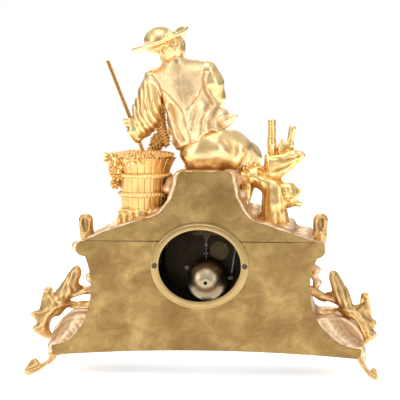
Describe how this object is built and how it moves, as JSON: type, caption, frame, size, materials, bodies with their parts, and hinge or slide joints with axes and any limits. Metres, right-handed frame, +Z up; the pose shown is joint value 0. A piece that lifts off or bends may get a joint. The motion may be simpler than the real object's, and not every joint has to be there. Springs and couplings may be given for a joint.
{
  "type": "mantel clock",
  "caption": "Gilt figural mantel clock: a seated grape harvester on a rock with a tub and vine stump, over a shaped case with an oval rear opening, bell and pendulum.",
  "frame": {"origin": "centre of the clock's footprint, on the shelf it stands on", "axes": "+Z up, -Y towards the dial side, +Y towards the back, +X towards the tub"},
  "size_m": [0.396, 0.12, 0.391],
  "materials": {
    "gilt_figure": "polished mercury gilding",
    "gilt_case": "polished mercury gilding",
    "gilt_matt": "matt gilding",
    "gilt_leaf": "worn gilding",
    "back_plate": "aged sheet brass",
    "trim_brass": "lacquered brass",
    "movement_brass": "grained brass",
    "bell_metal": "turned bell metal",
    "steel": "blued and polished steel",
    "hands_steel": "blued steel",
    "enamel": "white enamel on copper",
    "glass": "clear domed glass"
  },
  "bodies": {
    "case": {"back_plate_lower": "back_plate", "back_plate_upper": "back_plate", "case_shell": "gilt_case", "rock_mound": "gilt_matt", "ear_left": "gilt_leaf", "ear_right": "gilt_leaf", "leaf_spray_left": "gilt_leaf", "leaf_spray_right": "gilt_leaf", "foot_back_left": "gilt_leaf", "foot_back_right": "gilt_leaf", "foot_front_left": "gilt_leaf", "foot_front_right": "gilt_leaf", "figure_torso": "gilt_figure", "figure_head": "gilt_figure", "figure_hat": "gilt_figure", "figure_arm_left": "gilt_figure", "figure_arm_right": "gilt_figure", "figure_legs": "gilt_figure", "collar_screw": "steel", "pestle": "trim_brass", "tub": "gilt_case", "tub_grapes": "gilt_case", "vine_stump": "gilt_case", "bezel_mount": "trim_brass", "bezel_hinge_pin": "steel", "dial": "enamel", "rear_ring": "trim_brass", "ring_screws": "steel", "movement_straps": "movement_brass", "movement_front_plate": "movement_brass", "movement_back_plate": "movement_brass", "suspension_cock": "movement_brass", "bell": "bell_metal", "bell_stand": "steel", "bell_nut": "movement_brass"},
    "bezel_door": {"bezel_door": "trim_brass", "bezel_glass": "glass"},
    "minute_hand": {"minute_hand": "hands_steel"},
    "hour_hand": {"hour_hand": "hands_steel"},
    "minute_wheel": {"minute_wheel": "movement_brass"},
    "going_barrel": {"going_barrel": "movement_brass"},
    "going_arbor": {"going_arbor": "steel"},
    "strike_barrel": {"strike_barrel": "movement_brass"},
    "strike_arbor": {"strike_arbor": "steel"},
    "intermediate_wheel": {"intermediate_wheel": "movement_brass"},
    "centre_wheel": {"centre_wheel": "movement_brass"},
    "third_wheel": {"third_wheel": "movement_brass"},
    "escape_wheel": {"escape_wheel": "movement_brass"},
    "pallets": {"pallets_crutch": "steel"},
    "pendulum": {"pendulum_rod": "steel", "suspension_spring": "steel"},
    "bob": {"pendulum_bob": "movement_brass", "rating_nut": "movement_brass"},
    "count_wheel": {"count_wheel": "movement_brass"},
    "pin_wheel": {"pin_wheel": "movement_brass"},
    "warning_wheel": {"warning_wheel": "movement_brass"},
    "fly": {"fly": "movement_brass"},
    "hammer": {"hammer": "steel"},
    "click_going": {"click_going": "steel"},
    "click_strike": {"click_strike": "steel"}
  },
  "joints": [
    {"name": "bezel_door_turn", "type": "hinge", "parent": "case", "child": "bezel_door", "pos_m": [-0.0555, -0.052, 0.125], "axis": [0, 0, -1], "range_deg": [0, 110]},
    {"name": "minute_turn", "type": "hinge", "parent": "case", "child": "minute_hand", "pos_m": [0, -0.045, 0.125], "axis": [0, 1, 0], "continuous": true},
    {"name": "hour_turn", "type": "hinge", "parent": "case", "child": "hour_hand", "pos_m": [0, -0.044, 0.125], "axis": [0, 1, 0], "continuous": true},
    {"name": "minute_wheel_turn", "type": "hinge", "parent": "case", "child": "minute_wheel", "pos_m": [0, -0.039, 0.1346], "axis": [0, 1, 0], "continuous": true},
    {"name": "third_turn", "type": "hinge", "parent": "case", "child": "third_wheel", "pos_m": [0.00937, -0.018, 0.13844], "axis": [0, 1, 0], "continuous": true},
    {"name": "centre_turn", "type": "hinge", "parent": "case", "child": "centre_wheel", "pos_m": [0, -0.018, 0.125], "axis": [0, 1, 0], "continuous": true},
    {"name": "escape_turn", "type": "hinge", "parent": "case", "child": "escape_wheel", "pos_m": [-0.004, -0.018, 0.1412], "axis": [0, 1, 0], "continuous": true},
    {"name": "intermediate_turn", "type": "hinge", "parent": "case", "child": "intermediate_wheel", "pos_m": [0, -0.018, 0.1082], "axis": [0, 1, 0], "continuous": true},
    {"name": "going_barrel_turn", "type": "hinge", "parent": "case", "child": "going_barrel", "pos_m": [0.0186, -0.018, 0.116], "axis": [0, 1, 0], "continuous": true},
    {"name": "going_winding", "type": "hinge", "parent": "case", "child": "going_arbor", "pos_m": [0.0186, -0.02, 0.116], "axis": [0, 1, 0], "continuous": true},
    {"name": "strike_winding", "type": "hinge", "parent": "case", "child": "strike_arbor", "pos_m": [-0.0186, -0.02, 0.116], "axis": [0, 1, 0], "continuous": true},
    {"name": "pendulum_swing", "type": "hinge", "parent": "case", "child": "pendulum", "pos_m": [-0.004, 0.008, 0.1537], "axis": [0, 1, 0], "range_deg": [-3, 3]},
    {"name": "pallets_rock", "type": "hinge", "parent": "case", "child": "pallets", "pos_m": [-0.004, 0, 0.1537], "axis": [0, 1, 0], "range_deg": [-4, 4]},
    {"name": "bob_height", "type": "slide", "parent": "pendulum", "child": "bob", "axis": [0, 0, 1], "range_m": [-0.003, 0.003]},
    {"name": "pin_turn", "type": "hinge", "parent": "case", "child": "pin_wheel", "pos_m": [-0.02516, -0.018, 0.14398], "axis": [0, 1, 0], "continuous": true},
    {"name": "count_turn", "type": "hinge", "parent": "case", "child": "count_wheel", "pos_m": [-0.0186, -0.018, 0.13617], "axis": [0, 1, 0], "continuous": true},
    {"name": "strike_barrel_turn", "type": "hinge", "parent": "case", "child": "strike_barrel", "pos_m": [-0.0186, -0.018, 0.116], "axis": [0, 1, 0], "continuous": true},
    {"name": "warning_turn", "type": "hinge", "parent": "case", "child": "warning_wheel", "pos_m": [-0.01908, -0.018, 0.15122], "axis": [0, 1, 0], "continuous": true},
    {"name": "fly_turn", "type": "hinge", "parent": "case", "child": "fly", "pos_m": [-0.01171, -0.018, 0.1539], "axis": [0, 1, 0], "continuous": true},
    {"name": "hammer_lift", "type": "hinge", "parent": "case", "child": "hammer", "pos_m": [-0.037, 0, 0.139], "axis": [0, 1, 0], "range_deg": [0, 12], "stiffness_Nm_per_rad": 0.002, "springref_deg": -8.59},
    {"name": "click_going_lift", "type": "hinge", "parent": "case", "child": "click_going", "pos_m": [0.0301, -0.037, 0.11], "axis": [0, -1, 0], "range_deg": [0, 15], "stiffness_Nm_per_rad": 0.0002, "springref_deg": -5.73},
    {"name": "click_strike_lift", "type": "hinge", "parent": "case", "child": "click_strike", "pos_m": [-0.0301, -0.037, 0.11], "axis": [0, 1, 0], "range_deg": [0, 15], "stiffness_Nm_per_rad": 0.0002, "springref_deg": -5.73}
  ],
  "couplings": [
    {"joint": "hour_turn", "follows": "minute_turn", "ratio": 0.083333},
    {"joint": "minute_wheel_turn", "follows": "minute_turn", "ratio": -0.33333},
    {"joint": "centre_turn", "follows": "third_turn", "ratio": -0.083333},
    {"joint": "escape_turn", "follows": "third_turn", "ratio": -12},
    {"joint": "intermediate_turn", "follows": "third_turn", "ratio": 0.013889},
    {"joint": "going_barrel_turn", "follows": "third_turn", "ratio": -0.0019841},
    {"joint": "pallets_rock", "follows": "pendulum_swing", "ratio": 1},
    {"joint": "count_turn", "follows": "pin_turn", "ratio": -0.13333},
    {"joint": "strike_barrel_turn", "follows": "pin_turn", "ratio": 0.019048},
    {"joint": "warning_turn", "follows": "pin_turn", "ratio": -8},
    {"joint": "fly_turn", "follows": "pin_turn", "ratio": 56}
  ]
}
